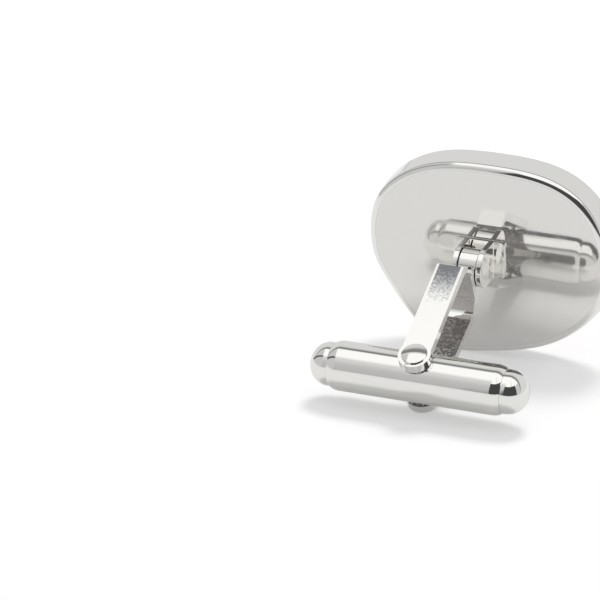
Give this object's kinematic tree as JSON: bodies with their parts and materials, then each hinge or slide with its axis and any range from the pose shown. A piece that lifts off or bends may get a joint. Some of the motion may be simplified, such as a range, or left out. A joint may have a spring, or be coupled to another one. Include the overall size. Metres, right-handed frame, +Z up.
{
  "type": "swivel-bar cufflink",
  "caption": "Cufflink with a rounded freeform inlaid face in a polished rim, and a hinged stirrup arm that carries a swivelling hollow toggle bar.",
  "frame": {"origin": "bottom centre of the bounding box, on the table that the part stands on", "axes": "+X along the toggle bar, to the right as the face is seen from the front; +Y from the face to the toggle bar; +Z up"},
  "size_m": [0.0208, 0.0186, 0.0169],
  "materials": {
    "polished_metal": "brass with a polished rhodium plate, mirror bright",
    "red_inlay": "brick-red resin slab, polished, with fine pale scratches",
    "adhesive": "cured epoxy",
    "spring_steel": "rolled spring strip"
  },
  "bodies": {
    "head": {"back_plate": "polished_metal", "bezel_band": "polished_metal", "adhesive_bed": "adhesive", "inlay_slab": "red_inlay", "hinge_base": "polished_metal", "hinge_pin": "polished_metal"},
    "arm": {"arm_stirrup": "polished_metal", "arm_knuckle": "polished_metal", "swivel_pin": "polished_metal"},
    "toggle": {"toggle_tube": "polished_metal", "end_cap_left": "polished_metal", "end_cap_right": "polished_metal", "click_spring": "spring_steel"}
  },
  "joints": [
    {"name": "arm_fold", "type": "hinge", "parent": "head", "child": "arm", "pos_m": [0.0006, -0.00401, 0.00855], "axis": [1, 0, 0], "range_deg": [-41.3, 88.7]},
    {"name": "toggle_swivel", "type": "hinge", "parent": "arm", "child": "toggle", "pos_m": [0.001, 0.00696, 0.00298], "axis": [0, 0.4527, 0.8917], "range_deg": [-90, 90]}
  ]
}
